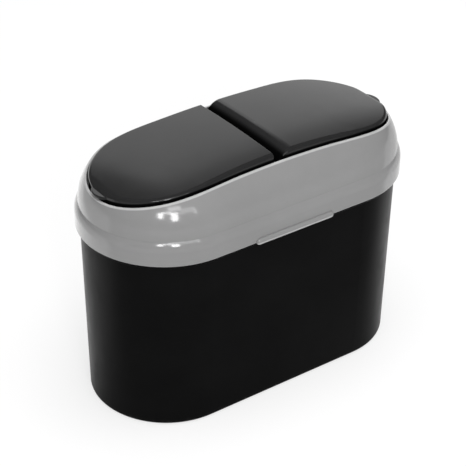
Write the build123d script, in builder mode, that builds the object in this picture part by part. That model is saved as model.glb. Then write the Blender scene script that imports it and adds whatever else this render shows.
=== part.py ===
from build123d import *
from math import asin, atan2, cos, degrees, hypot, radians, sin, sqrt
import os

# Plan: straight long sides joined by half-round ends
end_spacing = 98.8
half_spacing = end_spacing / 2

# Bucket: a tapered tub with a stop bead just under the collar
bucket_height = 112.0
base_radius = 42.9
mouth_radius = 45.2
bucket_wall = 2.0
bucket_floor = 2.4
base_edge_radius = 2.0
rim_edge_radius = 0.6
bead_radius = 0.8
bead_drop = 9.4

# Collar: the lower band over the bucket's rim, and the skirt that plugs its mouth
band_clearance = 0.8
band_wall = 1.7
band_overlap = 7.6
band_height = 8.1
band_edge_radius = 0.5
skirt_clearance = 0.4
skirt_wall = 1.5
skirt_depth = 7.0
gusset_thickness = 1.5

# Collar: the shoulder above the band and the dome that leans in to the opening
shoulder_step = 1.95
shoulder_height = 5.5
dome_lean = 16.75
dome_rise = 26.0
dome_bulge = 4.25
dome_wall = 2.3

# Arched rim of the opening, with the ledge that the flaps close on
arch_reach = 54.0
rim_rise = 21.6
rim_side_drop = 1.3
rim_end_drop = 13.15
rim_land = 1.0
rim_edge_round = 0.6
seat_depth = 4.3
seat_thickness = 1.8
seat_width = 3.0

# Thumb lip on the collar's front edge
lip_length = 50.0
lip_height = 3.6
lip_proud = 1.3
lip_hang = 1.1
lip_corner_radius = 1.6
lip_edge_radius = 1.0

# Flaps: crowned shells that stand a little proud of the rim
flap_gap = 1.0
flap_proud = 4.95
flap_side_drop = 2.65
flap_end_drop = 12.2
flap_end_round = 6.0
flap_end_margin = 0.5
flap_crown_radius = 700.0
flap_edge_radius = 2.0
flap_wall = 2.0
flap_seat_clearance = 0.3
flap_edge_x = -4.2
flap_edge_break = 0.4

# Finger tabs at the flaps' outer ends
tab_radius = 9.5
tab_reach = 2.6
tab_thickness = 1.7
tab_lift = 0.8
tab_edge_radius = 0.6

# Stiffening ribs under the flaps
rib_spacing = 26.0
rib_thickness = 1.2
rib_setback = 1.2

# Hinges: a pin under each flap's inner edge
pin_radius = 1.5
pin_running_clearance = 0.08
pin_seat_clearance = 0.03
pin_engagement = 1.5
pin_end_clearance = 0.1
pin_end_chamfer = 0.3
knuckle_radius = 3.0
knuckle_width = 2.5
left_pin_x = -13.5
left_pin_depth = 7.6
roll_radius = 9.0
roll_edge_x = -1.0
roll_trim = 1.0

# Collar's hinge cheeks and the cross bridge under the gap
cheek_reach_left = 17.0
cheek_reach_right = 12.5
cheek_depth = 6.0
bridge_width = 24.0
bridge_thickness = 2.5
bridge_clearance = 1.5

# Heights, radii and places that follow from the sizes above
band_bottom = bucket_height - band_overlap
band_top = band_bottom + band_height
band_inner_radius = mouth_radius + band_clearance
band_radius = band_inner_radius + band_wall
overall_reach = half_spacing + band_radius
dome_foot = (band_radius - shoulder_step, band_top + shoulder_height)
dome_head = (dome_foot[0] - dome_lean, dome_foot[1] + dome_rise)
skirt_outer_radius = mouth_radius - bucket_wall - skirt_clearance
skirt_inner_radius = skirt_outer_radius - skirt_wall
skirt_bottom = bucket_height - skirt_depth
rim_peak = dome_foot[1] + rim_rise
flap_peak = rim_peak + flap_proud
flap_inset = rim_land + flap_gap
flap_skirt_drop = seat_depth - flap_seat_clearance


def wall_radius(height):
    """Radius of the bucket's outer wall at a height."""
    return base_radius + (mouth_radius - base_radius) * height / bucket_height


def bulge_point(start, end, bulge):
    """Middle point of an arc from start to end that bulges outwards by the given amount."""
    run, rise = end[0] - start[0], end[1] - start[1]
    chord = hypot(run, rise)
    return ((start[0] + end[0]) / 2 + bulge * rise / chord, (start[1] + end[1]) / 2 - bulge * run / chord)


def dome_radius(height):
    """Radius of the dome's outer surface at a height."""
    run, rise = dome_head[0] - dome_foot[0], dome_head[1] - dome_foot[1]
    chord = hypot(run, rise)
    arc_radius = chord**2 / (8 * dome_bulge) + dome_bulge / 2
    crest = bulge_point(dome_foot, dome_head, dome_bulge)
    centre_r = crest[0] - arc_radius * rise / chord
    centre_z = crest[1] + arc_radius * run / chord
    return centre_r + sqrt(arc_radius**2 - (height - centre_z) ** 2)


def arch_height(x, peak, side_drop, end_drop):
    """Height of an arch at x: a shallow middle arc that runs on into a tighter arc at each end."""
    middle_radius = (half_spacing**2 + side_drop**2) / (2 * side_drop)
    if abs(x) <= half_spacing:
        return peak - middle_radius + sqrt(middle_radius**2 - x**2)
    slope = asin(half_spacing / middle_radius)
    fall = end_drop - side_drop
    end_radius = (arch_reach**2 + fall**2) / (2 * (fall * cos(slope) - arch_reach * sin(slope)))
    centre_x = half_spacing - end_radius * sin(slope)
    centre_z = peak - side_drop - end_radius * cos(slope)
    return centre_z + sqrt(end_radius**2 - (abs(x) - centre_x) ** 2)


def rim_height(x):
    """Height of the opening's rim at x."""
    return arch_height(x, rim_peak, rim_side_drop, rim_end_drop)


def flap_height(x):
    """Height of the flaps' top along their middle line at x."""
    return arch_height(x, flap_peak, flap_side_drop, flap_end_drop)


def rim_radius(angle):
    """Distance from an end's centre to the rim's outer edge, where the dome meets the arch."""
    radius = dome_radius(rim_peak)
    for _ in range(40):
        radius = dome_radius(rim_height(half_spacing + radius * cos(radians(angle))))
    return radius


def side_point(x, inset):
    """Plan point on the front long side, inset from the rim's outer edge."""
    return (x, inset - dome_radius(rim_height(x)))


def end_point(angle, inset):
    """Plan point on the right-hand end, inset from the rim's outer edge."""
    radius = rim_radius(angle) - inset
    return (half_spacing + radius * cos(radians(angle)), radius * sin(radians(angle)))


def inset_from_rim(point):
    """How far a point lies inside the rim's outer edge, seen in plan."""
    past_side = abs(point.X) - half_spacing
    if past_side <= 0:
        return dome_radius(rim_height(point.X)) - abs(point.Y)
    return rim_radius(degrees(atan2(abs(point.Y), past_side))) - hypot(past_side, point.Y)


def above_rim(edge):
    """Whether an edge's middle lies near the rim's height or above it."""
    middle = edge @ 0.5
    return middle.Z > rim_height(middle.X) - rim_edge_round


def on_outline(edge, inset):
    """Whether an edge runs round the opening, near the rim's height, at an inset from the rim's outer edge."""
    level = abs((edge % 0.5).Z) < cos(radians(20))
    return level and above_rim(edge) and abs(inset_from_rim(edge @ 0.5) - inset) < flap_gap / 4


def opening_face(inset):
    """Plan of the opening, inset from the rim's outer edge: one quarter, mirrored twice."""
    with BuildSketch() as face:
        with BuildLine():
            side = [side_point(half_spacing * part / 3, inset) for part in range(3)]
            end = [end_point(angle, inset) for angle in (-90, -60, -30, 0)]
            Spline(*side, *end, tangents=[(1, 0), (0, 1)])
            mirror(about=Plane.XZ)
            mirror(about=Plane.YZ)
        make_face()
    return face.sketch


def arch_face(peak, side_drop, end_drop, foot):
    """Side view of everything under an arch, down to a foot."""
    with BuildSketch() as face:
        with BuildLine():
            side_z = peak - side_drop
            middle = ThreePointArc((-half_spacing, side_z), (0, peak), (half_spacing, side_z))
            right = TangentArc(middle @ 1, (half_spacing + arch_reach, peak - end_drop), tangent=middle % 1)
            left = mirror(right, about=Plane.YZ)
            Polyline(right @ 1, ((right @ 1).X, foot), ((left @ 1).X, foot), left @ 1)
        make_face()
    return face.sketch


def rounded_ends(face, wall):
    """A flap's side view cut off just past its outer end and rounded down there, a wall thickness in."""
    end_x = flap_end_x + flap_end_margin - wall
    with BuildSketch() as rounded:
        add(face)
        with Locations((0, flap_peak)):
            Rectangle(2 * end_x, 2 * flap_peak, mode=Mode.INTERSECT)
        upper = vertices().filter_by(lambda v: v.Y > band_top + flap_proud)
        fillet(upper.filter_by(lambda v: abs(v.X) > end_x - flap_end_margin), radius=flap_end_round - wall)
    return rounded.sketch


def top_point(tilt, wall):
    """Side-view point of the flaps' middle arch at a tilt from its peak, a wall thickness in."""
    radius = flap_arch_radius - wall
    return (radius * sin(tilt), flap_arch_z + radius * cos(tilt))


def rolled_face(wall):
    """Side view of everything under the right flap's top and its rolled inner edge, a wall thickness in."""
    roll_tilt = asin(right_pin_x / (flap_arch_radius - roll_radius))
    side_tilt = asin(half_spacing / flap_arch_radius)
    roll_end = (right_pin_x - roll_radius + wall, right_pin_z)
    far_point = (half_spacing + arch_reach, flap_peak - flap_end_drop - wall)
    with BuildSketch() as face:
        with BuildLine():
            top_middle = top_point((roll_tilt + side_tilt) / 2, wall)
            top = ThreePointArc(top_point(roll_tilt, wall), top_middle, top_point(side_tilt, wall))
            TangentArc(top @ 0, roll_end, tangent=-(top % 0))
            TangentArc(top @ 1, far_point, tangent=top % 1)
            Polyline(far_point, (far_point[0], band_top), (roll_end[0], band_top), roll_end)
        make_face()
    return face.sketch


def racetrack(half_section):
    """Carry a half section, drawn as radius against height, round the plan."""
    with BuildPart() as body:
        with BuildSketch(Plane.YZ):
            add(half_section)
            mirror(about=Plane.YZ)
        extrude(amount=half_spacing, both=True)
        for side in (1, -1):
            centre = (side * half_spacing, 0, 0)
            with BuildSketch(Plane(origin=centre, x_dir=(0, -side, 0), z_dir=(-side, 0, 0))):
                add(half_section)
            revolve(axis=Axis(centre, (0, 0, 1)), revolution_arc=180)
    return body.part


def side_body(face):
    """Carry a side view across the whole width."""
    with BuildPart() as body:
        with BuildSketch(Plane.XZ):
            add(face)
        extrude(amount=overall_reach, both=True)
    return body.part


def rim_body(drop):
    """Everything under the rim's arch lowered by a drop."""
    return side_body(arch_face(rim_peak - drop, rim_side_drop, rim_end_drop, band_bottom))


def crowned_body(face):
    """Turn a side view about a far axis below it, so that its top is crowned across the width."""
    axis_z = flap_peak - flap_crown_radius
    half_angle = asin(band_radius / flap_crown_radius)
    start = Plane(origin=(0, 0, axis_z), x_dir=(1, 0, 0), z_dir=(0, -cos(half_angle), sin(half_angle)))
    with BuildPart() as body:
        with BuildSketch(start):
            with Locations((0, -axis_z)):
                add(face)
        revolve(axis=Axis((0, 0, axis_z), (1, 0, 0)), revolution_arc=2 * degrees(half_angle))
    return body.part


def plan_body(inset):
    """Raise the opening's plan, inset from the rim's outer edge, through the whole collar."""
    with BuildPart() as body:
        with BuildSketch(Plane.XY.offset(skirt_bottom)):
            add(opening_face(inset))
        extrude(amount=flap_peak - skirt_bottom + flap_proud)
    return body.part


def span_body(x_low, x_high, z_low, z_high):
    """A block right across the width, between two x places and two heights."""
    with BuildPart() as body:
        with BuildSketch(Plane.XZ):
            with Locations(((x_low + x_high) / 2, (z_low + z_high) / 2)):
                Rectangle(x_high - x_low, z_high - z_low)
        extrude(amount=overall_reach, both=True)
    return body.part


def pin_body(pin_x, pin_z, radius, half_length):
    """A round bar across the width on a hinge axis."""
    with BuildPart() as body:
        with BuildSketch(Plane.XZ):
            with Locations((pin_x, pin_z)):
                Circle(radius)
        extrude(amount=half_length, both=True)
    return body.part


def knuckle_places():
    """The y places of a flap's three knuckles: one at each side skirt and one in the middle."""
    outer_y = dome_radius(rim_peak) - flap_inset - (flap_wall + knuckle_width) / 2
    return (-outer_y, 0, outer_y)


def knuckle_discs(pin_x, pin_z):
    """The round knuckles of a flap, about its pin."""
    with BuildPart() as body:
        for y in knuckle_places():
            with BuildSketch(Plane.XZ.offset(-y)):
                with Locations((pin_x, pin_z)):
                    Circle(knuckle_radius)
            extrude(amount=knuckle_width / 2, both=True)
    return body.part


def knuckle_webs(pin_x, pin_z):
    """The webs from a flap's knuckles up into its top."""
    with BuildPart() as body:
        for y in knuckle_places():
            with BuildSketch(Plane.XZ.offset(-y)):
                with Locations((pin_x, (pin_z + flap_peak) / 2)):
                    Rectangle(2 * knuckle_radius, flap_peak - pin_z)
            extrude(amount=knuckle_width / 2, both=True)
    return body.part


def tab_body(side):
    """The round finger tab at a flap's outer end, just over the rim."""
    with BuildPart() as body:
        with BuildSketch(Plane.XY.offset(rim_height(flap_end_x) + tab_lift)):
            with Locations((side * (flap_end_x + tab_reach - tab_radius), 0)):
                Circle(tab_radius)
        extrude(amount=tab_thickness)
        fillet(edges().filter_by(GeomType.CIRCLE), radius=tab_edge_radius)
    return body.part


def rib_walls(floor):
    """Two upright walls along the flaps, cut off at a floor that follows the rim."""
    with BuildPart() as body:
        with BuildSketch(Plane.XY.offset(band_top)):
            with GridLocations(0, rib_spacing, 1, 2):
                Rectangle(2 * overall_reach, rib_thickness)
        extrude(amount=flap_peak - band_top)
        add(floor, mode=Mode.SUBTRACT)
    return body.part


# Flaps' outer ends and hinge axes
flap_end_x = half_spacing + rim_radius(0) - flap_inset
left_pin_z = flap_height(left_pin_x) - left_pin_depth
flap_arch_radius = (half_spacing**2 + flap_side_drop**2) / (2 * flap_side_drop)
flap_arch_z = flap_peak - flap_arch_radius
right_pin_x = roll_edge_x + roll_radius
right_pin_z = flap_arch_z + sqrt((flap_arch_radius - roll_radius) ** 2 - right_pin_x**2)
opening_half_width = dome_radius(rim_peak) - rim_land
pin_seat_half_length = opening_half_width + pin_engagement

# Bucket
with BuildSketch() as bucket_section:
    with BuildLine():
        inner_base = (wall_radius(bucket_floor) - bucket_wall, bucket_floor)
        inner_rim = (mouth_radius - bucket_wall, bucket_height)
        Polyline((0, 0), (base_radius, 0), (mouth_radius, bucket_height), inner_rim, inner_base,
                 (0, bucket_floor), close=True)
    make_face()
    corners = vertices().filter_by(lambda v: v.X > 0)
    fillet(corners.group_by(Axis.Y)[0] + corners.group_by(Axis.Y)[1], radius=base_edge_radius)
    fillet(vertices().group_by(Axis.Y)[-1], radius=rim_edge_radius)
    bead_z = bucket_height - bead_drop
    with Locations((wall_radius(bead_z), bead_z)):
        Circle(bead_radius)

bucket_body = racetrack(bucket_section.sketch)
with BuildPart() as bucket:
    add(bucket_body)
bucket.part.label = "bucket"

# Collar: its outside as a solid, and its wall with the band, the skirt and the gusset between them
with BuildSketch() as dome_section:
    with BuildLine():
        band = Line((band_radius, band_bottom), (band_radius, band_top))
        shoulder = TangentArc(band @ 1, dome_foot, tangent=band % 1)
        dome = ThreePointArc(dome_foot, bulge_point(dome_foot, dome_head, dome_bulge), dome_head)
        Polyline(dome @ 1, (0, dome_head[1]), (0, band_bottom), band @ 0)
    make_face()

with BuildSketch() as collar_section:
    with BuildLine():
        inner_foot = (dome_foot[0] - dome_wall, dome_foot[1])
        inner_head = (dome_head[0] - dome_wall, dome_head[1])
        add([band, shoulder, dome])
        Line(dome_head, inner_head)
        ThreePointArc(inner_head, bulge_point(inner_foot, inner_head, dome_bulge), inner_foot)
        Polyline(inner_foot, (skirt_inner_radius, bucket_height + gusset_thickness),
                 (skirt_inner_radius, skirt_bottom), (skirt_outer_radius, skirt_bottom),
                 (skirt_outer_radius, bucket_height), (band_inner_radius, bucket_height),
                 (band_inner_radius, band_bottom), band @ 0)
    make_face()
    fillet(vertices().group_by(Axis.X)[-1].sort_by(Axis.Y)[0], radius=band_edge_radius)

dome_solid = racetrack(dome_section.sketch)
collar_wall = racetrack(collar_section.sketch)
under_rim = rim_body(0)
under_seat = rim_body(seat_depth)
under_ledge = rim_body(seat_depth + seat_thickness)
opening_solid = plan_body(rim_land)
mouth_solid = plan_body(flap_inset + seat_width)
hinge_zone = span_body(-cheek_reach_left, cheek_reach_right, band_bottom, flap_peak)
cheek_zone = span_body(-cheek_reach_left, cheek_reach_right, right_pin_z - cheek_depth, flap_peak)
bridge_top = right_pin_z - roll_radius - bridge_clearance
bridge_zone = span_body(-bridge_width / 2, bridge_width / 2, bridge_top - bridge_thickness, bridge_top)

# Seat ledge that follows the rim, left out beside the hinges
with BuildPart() as seat_ledge:
    add(dome_solid)
    add(under_seat, mode=Mode.INTERSECT)
    add(under_ledge, mode=Mode.SUBTRACT)
    add(mouth_solid, mode=Mode.SUBTRACT)
    add(hinge_zone, mode=Mode.SUBTRACT)

# Cheeks that hold the pins' ends, and the bridge that ties the two long sides
with BuildPart() as hinge_cheeks:
    add(dome_solid)
    add(cheek_zone, mode=Mode.INTERSECT)
    add(opening_solid, mode=Mode.SUBTRACT)

with BuildPart() as cross_bridge:
    add(dome_solid)
    add(bridge_zone, mode=Mode.INTERSECT)

with BuildPart() as above_seat:
    add(opening_solid)
    add(under_seat, mode=Mode.SUBTRACT)

with BuildPart() as thumb_lip:
    with BuildSketch(Plane.XZ.offset(band_inner_radius)):
        with Locations((0, band_bottom - lip_hang + lip_height / 2)):
            RectangleRounded(lip_length, lip_height, lip_corner_radius)
    extrude(amount=band_wall + lip_proud)
    fillet(faces().sort_by(Axis.Y)[0].edges(), radius=lip_edge_radius)

left_pin_seat = pin_body(left_pin_x, left_pin_z, pin_radius + pin_seat_clearance, pin_seat_half_length)
right_pin_seat = pin_body(right_pin_x, right_pin_z, pin_radius + pin_seat_clearance, pin_seat_half_length)

with BuildPart() as lid_collar:
    add(collar_wall)
    add(above_seat.part, mode=Mode.SUBTRACT)
    add(seat_ledge.part)
    add(hinge_cheeks.part)
    add(cross_bridge.part)
    add(under_rim, mode=Mode.INTERSECT)
    fillet(edges().filter_by(lambda edge: on_outline(edge, 0)), radius=rim_edge_round)
    add(thumb_lip.part)
    add([left_pin_seat, right_pin_seat], mode=Mode.SUBTRACT)
lid_collar.part.label = "lid_collar"

# Flaps: what the two share
flap_plan = plan_body(flap_inset)
flap_hollow_plan = plan_body(flap_inset + flap_wall)
under_skirt = rim_body(flap_skirt_drop)
flap_ribs = rib_walls(rim_body(flap_skirt_drop - rib_setback))
left_arch = arch_face(flap_peak, flap_side_drop, flap_end_drop, band_top)
left_inner_arch = arch_face(flap_peak - flap_wall, flap_side_drop, flap_end_drop, band_top)

# Left flap: a straight crisp edge beside the gap
left_half = span_body(-overall_reach, flap_edge_x, band_bottom, flap_peak)
left_hollow_half = span_body(-overall_reach, flap_edge_x - flap_wall, band_bottom, flap_peak)
left_top = crowned_body(rounded_ends(left_arch, 0))
left_hollow_top = crowned_body(rounded_ends(left_inner_arch, flap_wall))
left_webs = knuckle_webs(left_pin_x, left_pin_z)
left_knuckles = knuckle_discs(left_pin_x, left_pin_z)
left_bore = pin_body(left_pin_x, left_pin_z, pin_radius + pin_running_clearance, pin_seat_half_length)
left_tab = tab_body(-1)

with BuildPart() as left_hollow:
    add(flap_hollow_plan)
    add(left_hollow_top, mode=Mode.INTERSECT)
    add(left_hollow_half, mode=Mode.INTERSECT)
    add([left_webs, flap_ribs], mode=Mode.SUBTRACT)

with BuildPart() as left_flap:
    add(flap_plan)
    add(left_top, mode=Mode.INTERSECT)
    add(left_half, mode=Mode.INTERSECT)
    add(under_skirt, mode=Mode.SUBTRACT)
    fillet(edges().filter_by(lambda edge: on_outline(edge, flap_inset)), radius=flap_edge_radius)
    inner_end = faces().sort_by(Axis.X)[-1]
    fillet(inner_end.edges().filter_by(lambda edge: above_rim(edge)), radius=flap_edge_break)
    add(left_tab)
    add(left_hollow.part, mode=Mode.SUBTRACT)
    add(left_knuckles)
    add(left_bore, mode=Mode.SUBTRACT)
left_flap.part.label = "left_flap"

# Right flap: a rolled edge beside the gap, turned about its own pin
drum_x = right_pin_x + knuckle_radius
right_top = crowned_body(rounded_ends(rolled_face(0), 0))
right_hollow_top = crowned_body(rounded_ends(rolled_face(flap_wall), flap_wall))
under_drum = span_body(roll_edge_x - roll_radius, drum_x, band_bottom, right_pin_z + roll_trim)
beyond_drum = span_body(drum_x, overall_reach, band_bottom, flap_peak)
right_webs = knuckle_webs(right_pin_x, right_pin_z)
right_knuckles = knuckle_discs(right_pin_x, right_pin_z)
right_bore = pin_body(right_pin_x, right_pin_z, pin_radius + pin_running_clearance, pin_seat_half_length)
right_tab = tab_body(1)

with BuildPart() as under_right_skirt:
    add(under_skirt)
    add(beyond_drum, mode=Mode.INTERSECT)
    add(under_drum)

with BuildPart() as right_hollow:
    add(flap_hollow_plan)
    add(right_hollow_top, mode=Mode.INTERSECT)
    add([right_webs, flap_ribs], mode=Mode.SUBTRACT)

with BuildPart() as right_flap:
    add(flap_plan)
    add(right_top, mode=Mode.INTERSECT)
    add(under_right_skirt.part, mode=Mode.SUBTRACT)
    fillet(edges().filter_by(lambda edge: on_outline(edge, flap_inset)), radius=flap_edge_radius)
    add(right_tab)
    add(right_hollow.part, mode=Mode.SUBTRACT)
    add(right_knuckles)
    add(right_bore, mode=Mode.SUBTRACT)
right_flap.part.label = "right_flap"

# Hinge pins
pin_half_length = pin_seat_half_length - pin_end_clearance
left_rod = pin_body(left_pin_x, left_pin_z, pin_radius, pin_half_length)
right_rod = pin_body(right_pin_x, right_pin_z, pin_radius, pin_half_length)

with BuildPart() as left_hinge_pin:
    add(left_rod)
    chamfer(edges().filter_by(GeomType.CIRCLE), length=pin_end_chamfer)
left_hinge_pin.part.label = "left_hinge_pin"

with BuildPart() as right_hinge_pin:
    add(right_rod)
    chamfer(edges().filter_by(GeomType.CIRCLE), length=pin_end_chamfer)
right_hinge_pin.part.label = "right_hinge_pin"

os.makedirs("parts", exist_ok=True)
export_step(bucket.part, "parts/bucket.step")
export_step(lid_collar.part, "parts/lid_collar.step")
export_step(left_flap.part, "parts/left_flap.step")
export_step(right_flap.part, "parts/right_flap.step")
export_step(left_hinge_pin.part, "parts/left_hinge_pin.step")
export_step(right_hinge_pin.part, "parts/right_hinge_pin.step")
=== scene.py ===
"""Looks of a small car trash bin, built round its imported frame: metres, -Y is the front, +Z is up."""
import logging
import math
from dataclasses import dataclass, field
from enum import Enum
from typing import Any, Union

import bmesh
import bpy
import numpy as np
from mathutils import Matrix, Vector


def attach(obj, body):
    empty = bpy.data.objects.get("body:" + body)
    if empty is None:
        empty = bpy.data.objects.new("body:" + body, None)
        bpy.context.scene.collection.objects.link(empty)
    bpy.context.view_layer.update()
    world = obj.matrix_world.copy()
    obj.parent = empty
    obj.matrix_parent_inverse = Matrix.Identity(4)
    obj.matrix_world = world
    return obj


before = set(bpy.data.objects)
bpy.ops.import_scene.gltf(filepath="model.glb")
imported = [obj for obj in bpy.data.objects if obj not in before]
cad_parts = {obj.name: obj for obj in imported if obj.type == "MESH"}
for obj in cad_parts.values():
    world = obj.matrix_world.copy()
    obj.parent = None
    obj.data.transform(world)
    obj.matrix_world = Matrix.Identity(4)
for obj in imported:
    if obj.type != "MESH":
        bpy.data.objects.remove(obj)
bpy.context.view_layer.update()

LOG = logging.getLogger("car_trash_bin")
IMAGE_PIXELS = 466
MM = 0.001  # metres in a millimetre
BURIED = 0.15  # millimetres that a piece's rim is sunk into what carries it
WELD = 1e-7  # metres within which a grid's points are merged
WHITE = (1.0, 1.0, 1.0, 1.0)

Value = Union["Sock", float]
Pair = tuple[float, float]
Triple = tuple[float, float, float]
Colour = Triple


class Body(Enum):
    """The bodies of the frame that pieces ride on."""

    BUCKET = "bucket"
    LID = "lid"
    LEFT_FLAP = "left_flap"
    RIGHT_FLAP = "right_flap"


class Slot(Enum):
    """The names of the record's material slots."""

    BUCKET = "black_bucket"
    COLLAR = "grey_collar"
    FLAP = "black_flap"


class Side(Enum):
    """One side of the middle, as the sign of a coordinate."""

    MINUS = -1
    PLUS = 1


class Sock:
    """A shader socket with arithmetic: each operator adds one Math node."""

    def __init__(self, book: "NodeBook", socket: bpy.types.NodeSocket | None) -> None:
        """Keep the socket and the book of nodes that it belongs to.

        Args:
            book: the material's node maker.
            socket: an output socket of one of its nodes, or None after an output node.
        """
        self.book = book
        self.socket = socket

    def _math(self, operation: str, first: Value, second: Value) -> "Sock":
        """One Math node on two values, as a new socket."""
        return self.book.node("ShaderNodeMath", {"operation": operation}, {0: first, 1: second})

    def __add__(self, other: Value) -> "Sock":
        """Sum."""
        return self._math("ADD", self, other)

    __radd__ = __add__

    def __mul__(self, other: Value) -> "Sock":
        """Product."""
        return self._math("MULTIPLY", self, other)

    __rmul__ = __mul__

    def __sub__(self, other: Value) -> "Sock":
        """Difference."""
        return self._math("SUBTRACT", self, other)

    def __rsub__(self, other: Value) -> "Sock":
        """Difference from a number."""
        return self._math("SUBTRACT", other, self)

    def __abs__(self) -> "Sock":
        """Size without sign."""
        return self._math("ABSOLUTE", self, 0.0)

    def high(self, other: Value) -> "Sock":
        """The larger of this and another value."""
        return self._math("MAXIMUM", self, other)

    def ramp(self, low: float, high: float) -> "Sock":
        """Smooth step from 0 at low to 1 at high.

        Args:
            low: value that gives 0.
            high: value that gives 1, which may be the lower one.

        Returns:
            The stepped value.
        """
        settings = {"interpolation_type": "SMOOTHSTEP", "clamp": True}
        limits = {"Value": self, "From Min": low, "From Max": high, "To Min": 0.0, "To Max": 1.0}
        return self.book.node("ShaderNodeMapRange", settings, limits)


@dataclass(frozen=True)
class Pattern:
    """Cloudy noise: bumps per metre, octaves and the weight of the finer ones.

    With a fade it is a smooth step between those two values. A stretch scales each axis, for marks that run one way.
    """

    per_metre: float
    octaves: float = 3.0
    fineness: float = 0.5
    fade: Pair | None = None
    stretch: Triple | None = None


CLOUDS = Pattern(28.0, 4.0, 0.55, fade=(0.3, 0.75))
SMEARS = Pattern(1.0, 3.0, 0.6, fade=(0.35, 0.7), stretch=(60.0, 60.0, 22.0))
PRINTS = Pattern(95.0, 2.0, fade=(0.48, 0.72))
DUST_SPECKS = Pattern(420.0, 4.0, 0.7, fade=(0.45, 0.8))
RIPPLES = Pattern(160.0, 2.0)
# Noise that makes the collar's painted highlight patchy.
HIGHLIGHT_PATCHES = Pattern(140.0)
WIRE_STREAKS = Pattern(1.0, 4.0, 0.6, stretch=(5200.0, 60.0, 5200.0))
WIRE_SPOTS = Pattern(900.0, fade=(0.62, 0.8))
FLOOR_CLOUDS = Pattern(3.0)


class NodeBook:
    """Makes the nodes of one material or world."""

    def __init__(self, tree: bpy.types.NodeTree) -> None:
        """Start from an empty tree.

        Args:
            tree: the node tree to fill.
        """
        self.tree = tree
        tree.nodes.clear()

    def node(
        self,
        kind: str,
        settings: dict[str, Any] | None = None,
        sockets: dict[str | int, Any] | None = None,
        output: str | int = 0,
    ) -> Sock:
        """Add one node: its settings first, then its values and links.

        Args:
            kind: the node's type name.
            settings: attributes to set.
            sockets: input name or number to a value, colour or Sock.
            output: name or number of the output to hand back.

        Returns:
            The chosen output.
        """
        made = self.tree.nodes.new(kind)
        for name, value in (settings or {}).items():
            setattr(made, name, value)
        for name, value in (sockets or {}).items():
            if isinstance(value, Sock):
                self.tree.links.new(value.socket, made.inputs[name])
            else:
                made.inputs[name].default_value = value
        return Sock(self, made.outputs[output] if made.outputs else None)

    def place(self) -> Sock:
        """Object coordinates, which are the frame's own metres."""
        return self.node("ShaderNodeTexCoord", output="Object")

    def along(self, axis: str) -> Sock:
        """One coordinate of the place, X, Y or Z, in metres."""
        return self.node("ShaderNodeSeparateXYZ", None, {0: self.place()}, axis)

    def ray(self, kind: str) -> Sock:
        """1 for rays of one kind, such as Is Glossy Ray, and 0 for others."""
        return self.node("ShaderNodeLightPath", output=kind)

    def noise(self, pattern: Pattern) -> Sock:
        """Cloudy noise from 0 to 1.

        Args:
            pattern: its scale, octaves, fade and stretch.

        Returns:
            The noise value.
        """
        where = self.place()
        if pattern.stretch is not None:
            scaled = {"Vector": where, "Scale": pattern.stretch}
            where = self.node("ShaderNodeMapping", {"vector_type": "POINT"}, scaled)
        sockets = {
            "Vector": where,
            "Scale": pattern.per_metre,
            "Detail": pattern.octaves,
            "Roughness": pattern.fineness,
        }
        plain = self.node("ShaderNodeTexNoise", {"noise_dimensions": "3D"}, sockets, "Fac")
        return plain if pattern.fade is None else plain.ramp(*pattern.fade)

    def cells(self, scale: float) -> Sock:
        """Distance to the nearest of scattered points, so many per metre, for a spark-eroded grain."""
        return self.node("ShaderNodeTexVoronoi", {"feature": "SMOOTH_F1"}, {"Vector": self.place(), "Scale": scale})

    def tint(self, factor: Value, first: Colour | Sock, second: Colour) -> Sock:
        """Mix two colours by a factor.

        Args:
            factor: 0 for the first colour, 1 for the second.
            first: linear colour, or a colour socket.
            second: linear colour.

        Returns:
            The mixed colour.
        """
        start = first if isinstance(first, Sock) else (*first, 1.0)
        return self.node("ShaderNodeMix", {"data_type": "RGBA"}, {0: factor, 6: start, 7: (*second, 1.0)}, 2)

    def bump(self, height: Sock, depth: float, under: Sock | None = None) -> Sock:
        """Normal of a relief.

        Args:
            height: relief from 0 to 1.
            depth: metres between 0 and 1.
            under: a normal that this relief is laid over.

        Returns:
            The normal.
        """
        sockets: dict[str | int, Any] = {"Strength": 1.0, "Distance": depth, "Height": height}
        if under is not None:
            sockets["Normal"] = under
        return self.node("ShaderNodeBump", None, sockets, "Normal")

    def mixed(self, factor: Sock, first: Sock, second: Sock) -> Sock:
        """Two shaders mixed: the first where the factor is 0, the second where it is 1."""
        return self.node("ShaderNodeMixShader", None, {0: factor, 1: first, 2: second})


@dataclass(frozen=True)
class RimLine:
    """The arched rim round the opening, as a height along x in metres.

    The rim falls from its peak by bend * x^2, and past the half spacing by end_bend times the square of the rest.
    """

    peak: float = 0.1396
    half_spacing: float = 0.0494
    bend: float = 0.532
    end_bend: float = 2.41

    def above(self, book: NodeBook) -> Sock:
        """Height of a place above the rim.

        Args:
            book: the material's node maker.

        Returns:
            The height in metres, negative below the rim.
        """
        out = abs(book.along("X"))
        past = (out - self.half_spacing).high(0.0)
        return book.along("Z") + self.bend * out * out + self.end_bend * past * past - self.peak


@dataclass(frozen=True)
class Finish:
    """A named finish. Each kind gives its own surface."""

    name: str

    def surface(self, book: NodeBook) -> Sock:
        """The shader's output."""
        raise NotImplementedError

    def material(self) -> bpy.types.Material:
        """Build the material.

        Returns:
            The material, with everything procedural on Object coordinates.
        """
        made = bpy.data.materials.new(self.name)
        made.use_nodes = True
        book = NodeBook(made.node_tree)
        book.node("ShaderNodeOutputMaterial", None, {"Surface": self.surface(book)})
        return made


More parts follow.
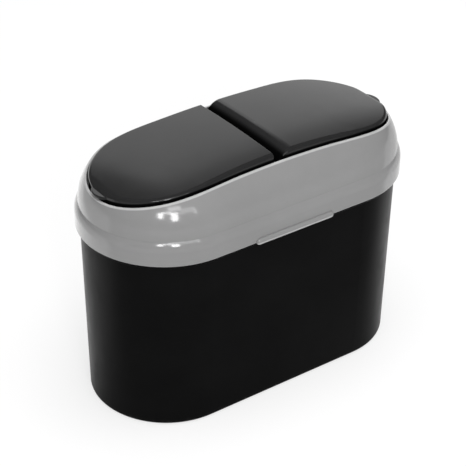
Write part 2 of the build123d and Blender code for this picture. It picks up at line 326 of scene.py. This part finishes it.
@dataclass(frozen=True)
class MouldedPlastic(Finish):
    """Injection-moulded plastic: faint flow clouds, a moulded grain, hand smears and a little dust.

    The colour is tone, mixed towards cloud by slow noise and towards dust in the lowest millimetres of a piece.
    The roughness rises along smears, and falls past rub_x along the length, where fingers polish the plastic.
    """

    tone: Colour
    cloud: Colour
    roughness: float
    smudge: float
    grain_per_metre: float
    grain_depth: float
    specular: float
    refraction: float = 1.5
    coat: float = 0.0
    coat_roughness: float = 0.05
    ripple_depth: float = 0.0
    rub_x: float = 0.0
    rub_length: float = 0.006
    rub_polish: float = 0.06
    dust_top: float = 0.0
    dust_tone: Colour = (0.12, 0.115, 0.105)
    dust_share: float = 0.3
    smear_middle: float = 0.5
    print_share: float = 0.6
    cell_share: float = 0.7
    fine_grain: float = 1.7
    fine_octaves: float = 2.0

    def colour(self, book: NodeBook) -> Sock:
        """Tone, clouds and dust.

        Args:
            book: the material's node maker.

        Returns:
            The base colour.
        """
        colour = book.tint(book.noise(CLOUDS), self.tone, self.cloud)
        if self.dust_top > 0:
            dust = book.along("Z").ramp(self.dust_top, 0.0) * book.noise(DUST_SPECKS) * self.dust_share
            colour = book.tint(dust, colour, self.dust_tone)
        return colour

    def gloss(self, book: NodeBook) -> Sock:
        """Roughness with smears, prints and rubbed ends.

        Args:
            book: the material's node maker.

        Returns:
            The roughness.
        """
        smears = book.noise(SMEARS) - self.smear_middle
        rough = self.roughness + self.smudge * smears + self.smudge * self.print_share * book.noise(PRINTS)
        if self.rub_x > 0:
            rough = rough - self.rub_polish * abs(book.along("X")).ramp(self.rub_x, self.rub_x + self.rub_length)
        return rough

    def relief(self, book: NodeBook) -> Sock:
        """Moulded grain, with slow ripples of the cooled skin over it.

        Args:
            book: the material's node maker.

        Returns:
            The normal.
        """
        fine = book.noise(Pattern(self.grain_per_metre * self.fine_grain, self.fine_octaves))
        grain = book.cells(self.grain_per_metre) * self.cell_share + fine * (1.0 - self.cell_share)
        skin = book.bump(grain, self.grain_depth)
        if self.ripple_depth > 0:
            skin = book.bump(book.noise(RIPPLES), self.ripple_depth, skin)
        return skin

    def surface(self, book: NodeBook) -> Sock:
        """The shader.

        Args:
            book: the material's node maker.

        Returns:
            The shader's output.
        """
        sockets = {
            "Base Color": self.colour(book),
            "Roughness": self.gloss(book),
            "Normal": self.relief(book),
            "IOR": self.refraction,
            "Specular IOR Level": self.specular,
            "Coat Weight": self.coat,
            "Coat Roughness": self.coat_roughness,
        }
        return book.node("ShaderNodeBsdfPrincipled", None, sockets)


@dataclass(frozen=True)
class EdgeHighlightPlastic(MouldedPlastic):
    """Moulded plastic with a painted highlight: a pale line painted along the arched rim and along its lower edge.

    The fades are heights above the rim and above the lower edge, from none of the painted highlight to all of it.
    """

    painted_highlight_tone: Colour = (0.46, 0.46, 0.46)
    rim_highlight_fade: Pair = (-0.0007, -0.00021)
    low_edge: float = 0.1044
    low_highlight_fade: Pair = (0.00049, 0.00014)
    low_highlight_share: float = 0.7
    least_highlight: float = 0.75
    highlight_spread: float = 0.5
    rim: RimLine = RimLine()

    def colour(self, book: NodeBook) -> Sock:
        """The plain colour, mixed towards the pale tone of the painted highlight.

        Args:
            book: the material's node maker.

        Returns:
            The base colour.
        """
        # Painted highlight: the rim and the lower edge are mixed towards a pale tone, made patchy by noise.
        top = self.rim.above(book).ramp(*self.rim_highlight_fade)
        low = (book.along("Z") - self.low_edge).ramp(*self.low_highlight_fade)
        patchy_highlight = self.least_highlight + self.highlight_spread * book.noise(HIGHLIGHT_PATCHES)
        return book.tint(top.high(self.low_highlight_share * low) * patchy_highlight, super().colour(book), self.painted_highlight_tone)


@dataclass(frozen=True)
class ShadedSkirtPlastic(MouldedPlastic):
    """Moulded plastic with painted shade: a near-black matte shader painted near and below the rim's line, where the
    gap shades the flap's side, and on the roll beside the gap between the flaps.

    The skirt's fade is in heights above the rim, and the roll's fades are places along x, from satin to the painted
    shade.
    """

    # Near-black tone of the painted shade.
    painted_shade_tone: Colour = (0.002, 0.002, 0.002)
    skirt_shade_fade: Pair = (0.00169, 0.00091)
    roll_shade_left: Pair = (-0.0041, -0.0039)
    roll_shade_right: Pair = (0.0042, 0.0012)
    rim: RimLine = RimLine()

    def surface(self, book: NodeBook) -> Sock:
        """The satin shader, mixed with a near-black matte one that paints shade on the skirt and the roll.

        Args:
            book: the material's node maker.

        Returns:
            The mixed shader's output.
        """
        skirt = self.rim.above(book).ramp(*self.skirt_shade_fade)
        along = book.along("X")
        roll = along.ramp(*self.roll_shade_right) * along.ramp(*self.roll_shade_left)
        # Painted shade: a near-black diffuse shader stands in for the dark of the gaps.
        matte = book.node("ShaderNodeBsdfDiffuse", None, {"Color": (*self.painted_shade_tone, 1.0)})
        return book.mixed(skirt.high(roll), super().surface(book), matte)


@dataclass(frozen=True)
class DrawnSteel(Finish):
    """Bright drawn wire: scratches that run along the pin, and slight dark spots."""

    tone: Colour
    shade: Colour
    roughness: float
    streak_share: float = 0.6
    streak_rough: float = 0.15
    streak_depth: float = 0.00002
    spot_rough: float = 0.2

    def surface(self, book: NodeBook) -> Sock:
        """The shader, with its streaks along Y.

        Args:
            book: the material's node maker.

        Returns:
            The shader's output.
        """
        streaks, spots = book.noise(WIRE_STREAKS), book.noise(WIRE_SPOTS)
        dark = streaks * self.streak_share + spots * (1.0 - self.streak_share)
        sockets = {
            "Base Color": book.tint(dark, self.tone, self.shade),
            "Metallic": 1.0,
            "Roughness": self.roughness + self.streak_rough * streaks + self.spot_rough * spots,
            "Normal": book.bump(streaks, self.streak_depth),
        }
        return book.node("ShaderNodeBsdfPrincipled", None, sockets)


@dataclass(frozen=True)
class StudioPaper(Finish):
    """Pale matte floor: part white to the camera, and dim in reflections in front of the bin and far aside.

    The front begins where y + skew * x falls through front_fade, and aside is where x, without its sign, rises
    through aside_fade.
    """

    tone: float = 0.93
    mottle: float = 0.01
    mirrored: float = 0.25
    glow: float = 0.6
    skew: float = 0.3
    front_fade: Pair = (0.02, -0.07)
    aside_fade: Pair = (0.16, 0.28)
    aside_share: float = 0.5

    def surface(self, book: NodeBook) -> Sock:
        """The matte shader, mixed with white light for the camera alone.

        Args:
            book: the material's node maker.

        Returns:
            The mixed shader's output.
        """
        plain = book.tint(book.noise(FLOOR_CLOUDS), (self.tone,) * 3, (self.tone + self.mottle,) * 3)
        front = (book.along("Y") + self.skew * book.along("X")).ramp(*self.front_fade)
        aside = self.aside_share * abs(book.along("X")).ramp(*self.aside_fade)
        dim = book.ray("Is Glossy Ray") * front.high(aside)
        matte = book.node("ShaderNodeBsdfDiffuse", None, {"Color": book.tint(dim, plain, (self.mirrored,) * 3)})
        paper = book.node("ShaderNodeEmission", None, {"Color": WHITE, "Strength": 1.0})
        return book.mixed(book.ray("Is Camera Ray") * self.glow, matte, paper)


BUCKET_FINISH = MouldedPlastic(
    name="bucket_black_plastic",
    tone=(0.0034, 0.0034, 0.0035),
    cloud=(0.0044, 0.0044, 0.0045),
    roughness=0.32,
    smudge=0.08,
    grain_per_metre=1500.0,
    grain_depth=0.000008,
    specular=0.06,
    dust_top=0.004,
)
COLLAR_FINISH = EdgeHighlightPlastic(
    name="collar_grey_plastic",
    tone=(0.228, 0.228, 0.228),
    cloud=(0.244, 0.244, 0.244),
    roughness=0.1,
    smudge=0.03,
    grain_per_metre=900.0,
    grain_depth=0.000002,
    specular=0.35,
    coat=1.0,
    coat_roughness=0.14,
    ripple_depth=0.00005,
)
FLAP_FINISH = ShadedSkirtPlastic(
    name="flap_satin_black_plastic",
    tone=(0.0165, 0.0165, 0.0168),
    cloud=(0.0195, 0.0195, 0.0198),
    roughness=0.14,
    smudge=0.025,
    grain_per_metre=1700.0,
    grain_depth=0.000003,
    specular=0.5,
    rub_x=0.084,
)
PIN_FINISH = DrawnSteel("pin_drawn_steel", tone=(0.62, 0.62, 0.61), shade=(0.34, 0.33, 0.32), roughness=0.28)
FLOOR_FINISH = StudioPaper("studio_floor_white")


def points_at(x: np.ndarray, y: np.ndarray, z: np.ndarray | float) -> np.ndarray:
    """Coordinates that broadcast together, as one array of points."""
    return np.stack(np.broadcast_arrays(x, y, z), axis=-1)


def grid_piece(name: str, points: np.ndarray) -> bpy.types.Object:
    """A mesh object from one or more grids of points in millimetres, one quad per cell, welded at seams and poles.

    Args:
        name: the piece's name.
        points: array of shape (copies, rows, columns, 3).

    Returns:
        The linked object, smooth-shaded, with its place in its mesh.
    """
    copies, rows, columns, _ = points.shape
    index = np.arange(copies * rows * columns).reshape(copies, rows, columns)
    corners = [index[:, :-1, :-1], index[:, 1:, :-1], index[:, 1:, 1:], index[:, :-1, 1:]]
    quads = np.stack(corners, axis=-1).reshape(-1, 4)
    mesh = bpy.data.meshes.new(name)
    mesh.from_pydata(points.reshape(-1, 3) * MM, [], quads)
    mesh.polygons.foreach_set("use_smooth", np.ones(len(quads), bool))
    welded = bmesh.new()
    welded.from_mesh(mesh)
    bmesh.ops.remove_doubles(welded, verts=welded.verts, dist=WELD)
    welded.to_mesh(mesh)
    welded.free()
    piece = bpy.data.objects.new(name, mesh)
    bpy.context.scene.collection.objects.link(piece)
    return piece


def settle(piece: bpy.types.Object, body: Body, finish: bpy.types.Material) -> None:
    """Give a new piece its finish, slot and body, and report it.

    Args:
        piece: the new object.
        body: the body that it rides on.
        finish: the material.
    """
    piece.data.materials.append(finish)
    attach(piece, body.value)
    LOG.info("built %s on %s", piece.name, body.value)


def dress(node: str, finish: bpy.types.Material) -> None:
    """Give a CAD node's object one finish in every slot, and report it.

    Args:
        node: the node's name.
        finish: the material.
    """
    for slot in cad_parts[node].material_slots:
        slot.material = finish
    LOG.info("dressed %s in %s", node, finish.name)


@dataclass
class EjectorMarks:
    """The round marks that a mould's ejector pins leave: a low ring round a shallow dome, in millimetres."""

    radius: float = 3.2
    ring: float = 0.18
    dome: float = 0.06
    rings: int = 17
    spokes: int = 41

    def relief(self) -> tuple[np.ndarray, np.ndarray, np.ndarray]:
        """Plan offsets and height of one mark.

        At share t of the radius the height is ring * sin^2(pi t^2) + dome * cos^2(pi t / 2), and the rim is buried.

        Returns:
            x and y offsets from the mark's middle, as (rings, spokes) grids, and the height of each ring.
        """
        share = np.linspace(0.0, 1.0, self.rings)[:, None]
        angle = np.linspace(0.0, 2 * np.pi, self.spokes)[None, :]
        height = self.ring * np.sin(np.pi * share**2) ** 2 + self.dome * np.cos(np.pi * share / 2) ** 2
        height = np.where(share < 1.0, height, -BURIED)
        return self.radius * share * np.cos(angle), self.radius * share * np.sin(angle), height


@dataclass
class Bucket:
    """The tapered tub, with the gate stub on its floor and the stacking ribs inside its long walls, in millimetres.

    The gate's ring is given in shares of the gate's height and radius, and the rib's slopes are how many times
    faster than its length the depth grows at its foot and falls at its top.
    """

    height: float = 112.0
    base_radius: float = 42.9
    mouth_radius: float = 45.2
    wall: float = 2.0
    floor: float = 2.4
    gate_radius: float = 4.5
    gate_height: float = 0.9
    gate_ring_height: float = 0.4
    gate_ring_place: float = 0.78
    gate_ring_width: float = 0.09
    gate_rings: int = 33
    gate_spokes: int = 49
    rib_places: tuple[float, ...] = (-36.0, -12.0, 12.0, 36.0)
    rib_low: float = 66.0
    rib_high: float = 100.0
    rib_width: float = 2.4
    rib_depth: float = 1.1
    rib_foot_slope: float = 2.5
    rib_top_slope: float = 14.0
    rib_rows: int = 41
    rib_columns: int = 13

    def inside_radius(self, z: np.ndarray) -> np.ndarray:
        """Radius of the tub's inner wall at each height, which grows evenly from the base to the mouth."""
        return self.base_radius + (self.mouth_radius - self.base_radius) * z / self.height - self.wall

    def gate_stub(self) -> bpy.types.Object:
        """The trimmed gate in the middle of the floor, turned about its upright axis.

        At share t of the radius the height is the square root of cos(pi t), where that is positive, plus a
        bell-shaped ring, less t^4 times the buried depth.

        Returns:
            The piece, with its rim buried in the floor.
        """
        share = np.linspace(0.0, 1.0, self.gate_rings)[:, None]
        angle = np.linspace(0.0, 2 * np.pi, self.gate_spokes)[None, :]
        dome = self.gate_height * np.clip(np.cos(np.pi * share), 0.0, None) ** 0.5
        bell = np.exp(-(((share - self.gate_ring_place) / self.gate_ring_width) ** 2))
        z = self.floor + dome + self.gate_ring_height * self.gate_height * bell - BURIED * share**4
        x, y = self.gate_radius * share * np.cos(angle), self.gate_radius * share * np.sin(angle)
        return grid_piece("bucket_gate_stub", points_at(x, y, z)[None])

    def stacking_ribs(self) -> bpy.types.Object:
        """Half-round upright ribs inside the long walls, which keep stacked tubs from jamming.

        Across a rib the depth is a cosine; along it the depth grows from nothing below and rounds off at the top.

        Returns:
            The piece, one grid per rib, with its edges buried in the wall.
        """
        x0, side = (a.ravel()[:, None, None] for a in np.meshgrid(self.rib_places, [s.value for s in Side]))
        z = np.linspace(self.rib_low, self.rib_high, self.rib_rows)[None, :, None]
        turn = np.linspace(-np.pi / 2, np.pi / 2, self.rib_columns)[None, None, :]
        rise = (z - self.rib_low) / (self.rib_high - self.rib_low)
        foot = np.sin(np.pi / 2 * np.clip(rise * self.rib_foot_slope, 0.0, 1.0))
        top = np.clip((1.0 - rise) * self.rib_top_slope, 0.0, 1.0) ** 0.5
        depth = (self.rib_depth + BURIED) * np.cos(turn) * (foot * top) - BURIED
        x = x0 - side * self.rib_width / 2 * np.sin(turn)
        y = side * (self.inside_radius(z) - depth)
        return grid_piece("bucket_stacking_ribs", points_at(x, y, z))

    def build(self) -> None:
        """Dress the tub and add the details of its inside."""
        finish = BUCKET_FINISH.material()
        dress("bucket", finish)
        for piece in (self.gate_stub(), self.stacking_ribs()):
            settle(piece, Body.BUCKET, finish)


@dataclass
class Collar:
    """The glossy lid ring, with the ejector marks under its cross bridge, in millimetres."""

    bridge_under: float = 122.479
    mark_places: tuple[Pair, ...] = ((0.0, -24.0), (0.0, 0.0), (0.0, 24.0))
    marks: EjectorMarks = field(default_factory=EjectorMarks)

    def bridge_marks(self) -> bpy.types.Object:
        """Ejector marks on the flat underside of the cross bridge: the marks' height taken down from it.

        Returns:
            The piece, one grid per mark.
        """
        dx, dy, height = self.marks.relief()
        place = np.array(self.mark_places)[:, None, None, :]
        x, y = place[..., 0] + dx, place[..., 1] - dy
        return grid_piece("collar_bridge_marks", points_at(x, y, self.bridge_under - height))

    def build(self) -> None:
        """Dress the collar and add the marks."""
        finish = COLLAR_FINISH.material()
        dress("lid_collar", finish)
        settle(self.bridge_marks(), Body.LID, finish)


@dataclass
class Flap:
    """One crowned flap, with the ejector marks under its top, in millimetres."""

    side: Side
    body: Body
    node: str
    half_spacing: float = 49.4
    peak: float = 144.55
    side_drop: float = 2.65
    wall: float = 2.0
    crown_radius: float = 700.0
    mark_along: tuple[float, ...] = (26.0, 44.0)
    mark_across: tuple[float, ...] = (-22.0, 0.0, 22.0)
    marks: EjectorMarks = field(default_factory=EjectorMarks)

    def underside(self, x: np.ndarray, y: np.ndarray) -> np.ndarray:
        """Height of the flap's inner face: an arc along x, turned about a far axis below so that it crowns across y.

        Args:
            x: places along the length.
            y: places across the width.

        Returns:
            The heights.
        """
        arc = (self.half_spacing**2 + self.side_drop**2) / (2 * self.side_drop)
        middle = self.peak - self.wall - arc + np.sqrt(arc**2 - x**2)
        axis = self.peak - self.crown_radius
        return axis + np.sqrt((middle - axis) ** 2 - y**2)

    def inner_marks(self) -> bpy.types.Object:
        """Ejector marks on the inner face: the marks' height taken down from that face.

        Returns:
            The piece, one grid per mark.
        """
        dx, dy, height = self.marks.relief()
        along, across = np.meshgrid(self.mark_along, self.mark_across)
        x = self.side.value * along.ravel()[:, None, None] + dx
        y = across.ravel()[:, None, None] - dy
        return grid_piece(f"{self.node}_marks", points_at(x, y, self.underside(x, y) - height))

    def build(self, finish: bpy.types.Material) -> None:
        """Dress the flap and add its marks.

        Args:
            finish: the material that both flaps share.
        """
        dress(self.node, finish)
        settle(self.inner_marks(), self.body, finish)


@dataclass
class HingePins:
    """The two drawn rods that the flaps swing on."""

    nodes: tuple[str, ...] = ("left_hinge_pin", "right_hinge_pin")

    def build(self) -> None:
        """Dress both rods."""
        finish = PIN_FINISH.material()
        for node in self.nodes:
            dress(node, finish)


@dataclass(frozen=True)
class Lamp:
    """A rectangular lamp that faces the bin: direction in degrees, reach and size in metres, and power.

    A lamp that isn't mirrored lights the bin and shows in no reflection.
    """

    name: str
    azimuth: float
    elevation: float
    reach: float
    wide: float
    high: float
    watts: float
    mirrored: bool = True


LAMPS = (
    Lamp("window_left_pane", -40.5, 25.5, 1.6, 0.18, 0.30, 2.2),
    Lamp("window_right_pane", -21.0, 22.5, 1.6, 0.25, 0.46, 4.4),
    Lamp("window_bar", -31.0, 31.0, 1.6, 0.34, 0.10, 0.9),
    Lamp("window_haze", -20.0, 38.5, 1.6, 0.45, 0.24, 1.4),
    Lamp("window_glow", -3.0, 31.0, 1.6, 0.45, 0.28, 0.7),
    Lamp("window_edge", 8.5, 26.0, 1.6, 0.06, 0.42, 0.35),
    Lamp("overhead_softbox", 20.0, 82.0, 2.2, 2.6, 2.0, 40.0, mirrored=False),
)


@dataclass
class Studio:
    """Floor, world, lamps and the camera fitted to the photograph, in metres and degrees."""

    camera_azimuth: float = -36.03
    camera_elevation: float = 32.397
    camera_roll: float = 0.649
    camera_distance: float = 0.917097
    camera_target: Triple = (-0.005355, 0.0, 0.078805)
    camera_clip: Pair = (0.01, 50.0)
    focal_pixels: float = 1674.591
    sensor_mm: float = 36.0
    lamp_target: Triple = (-0.07, -0.036, 0.131)
    floor_half: float = 4.0
    floor_points: int = 9
    ambient: float = 0.5
    backdrop_low: float = 0.705
    backdrop_lean: float = 0.095
    backdrop_left: float = -0.115
    backdrop_slant: float = 0.6
    backdrop_blur: float = 0.025
    ceiling: float = 0.06

    def direction(self, azimuth: float, elevation: float) -> Vector:
        """Unit vector from the bin towards an azimuth, from the front to the right, and an elevation.

        Args:
            azimuth: degrees.
            elevation: degrees.

        Returns:
            The vector.
        """
        turn, lift = math.radians(azimuth), math.radians(elevation)
        return Vector((math.sin(turn) * math.cos(lift), -math.cos(turn) * math.cos(lift), math.sin(lift)))

    def camera(self) -> None:
        """Place the camera: its view line from the target, then the roll about that line."""
        lens = bpy.data.cameras.new("photo_camera")
        lens.sensor_width = self.sensor_mm
        lens.lens = self.sensor_mm * self.focal_pixels / IMAGE_PIXELS
        lens.clip_start, lens.clip_end = self.camera_clip
        back = self.direction(self.camera_azimuth, self.camera_elevation)
        turn, roll = math.radians(self.camera_azimuth), math.radians(self.camera_roll)
        right = Vector((math.cos(turn), math.sin(turn), 0.0))
        up = back.cross(right)
        rolled_right = right * math.cos(roll) + up * math.sin(roll)
        rolled_up = up * math.cos(roll) - right * math.sin(roll)
        seat = Matrix((rolled_right, rolled_up, back)).transposed().to_4x4()
        seat.translation = Vector(self.camera_target) + back * self.camera_distance
        eye = bpy.data.objects.new("photo_camera", lens)
        bpy.context.scene.collection.objects.link(eye)
        eye.matrix_world = seat
        bpy.context.scene.camera = eye

    def world(self) -> None:
        """White to the camera; in reflections a white backdrop behind and a dim ceiling; else a plain ambient.

        With a direction's x, y and z, the backdrop begins where y + backdrop_lean * x is backdrop_low, and ends on
        the left where x - backdrop_slant * z is backdrop_left.
        """
        sky = bpy.data.worlds.new("studio_world")
        bpy.context.scene.world = sky
        sky.use_nodes = True
        book = NodeBook(sky.node_tree)
        seen = book.ray("Is Camera Ray").high(book.ray("Is Transmission Ray"))
        mirrored = book.ray("Is Glossy Ray")
        towards = book.node("ShaderNodeTexCoord", output="Generated")
        x, y, z = (book.node("ShaderNodeSeparateXYZ", None, {0: towards}, axis) for axis in "XYZ")
        back = (y + self.backdrop_lean * x - self.backdrop_low).ramp(-self.backdrop_blur, self.backdrop_blur)
        right = (x - self.backdrop_slant * z - self.backdrop_left).ramp(-self.backdrop_blur, self.backdrop_blur)
        gloss = self.ceiling + (1.0 - self.ceiling) * back * right
        plain = (1.0 - seen) * (1.0 - mirrored)
        strength = seen + mirrored * (1.0 - seen) * gloss + plain * self.ambient
        shade = book.node("ShaderNodeBackground", None, {"Color": WHITE, "Strength": strength})
        book.node("ShaderNodeOutputWorld", None, {"Surface": shade})

    def floor(self) -> None:
        """A wide pale floor: a flat grid in x and y at height 0."""
        side = np.linspace(-self.floor_half, self.floor_half, self.floor_points) / MM
        x, y = np.meshgrid(side, side, indexing="ij")
        floor = grid_piece("studio_floor", points_at(x, y, 0.0)[None])
        floor.data.materials.append(FLOOR_FINISH.material())

    def hang(self, lamp: Lamp) -> None:
        """Put one lamp in its place, facing the bin.

        Args:
            lamp: the lamp.
        """
        light = bpy.data.lights.new(lamp.name, "AREA")
        light.shape, light.size, light.size_y, light.energy = "RECTANGLE", lamp.wide, lamp.high, lamp.watts
        away = self.direction(lamp.azimuth, lamp.elevation)
        holder = bpy.data.objects.new(lamp.name, light)
        bpy.context.scene.collection.objects.link(holder)
        holder.location = Vector(self.lamp_target) + away * lamp.reach
        holder.rotation_euler = away.to_track_quat("Z", "Y").to_euler()
        holder.visible_glossy = lamp.mirrored

    def build(self) -> None:
        """Camera, world, floor and lamps."""
        self.camera()
        self.world()
        self.floor()
        for lamp in LAMPS:
            self.hang(lamp)
        bpy.context.scene.view_settings.view_transform = "Standard"
        LOG.info("studio ready")


def main() -> None:
    """Build the bin's sub-assemblies in order, then the studio."""
    logging.basicConfig(level=logging.INFO, format="%(name)s: %(message)s")
    Bucket().build()
    Collar().build()
    flap_finish = FLAP_FINISH.material()
    Flap(Side.MINUS, Body.LEFT_FLAP, "left_flap").build(flap_finish)
    Flap(Side.PLUS, Body.RIGHT_FLAP, "right_flap").build(flap_finish)
    HingePins().build()
    Studio().build()


if __name__ == "__main__":
    main()
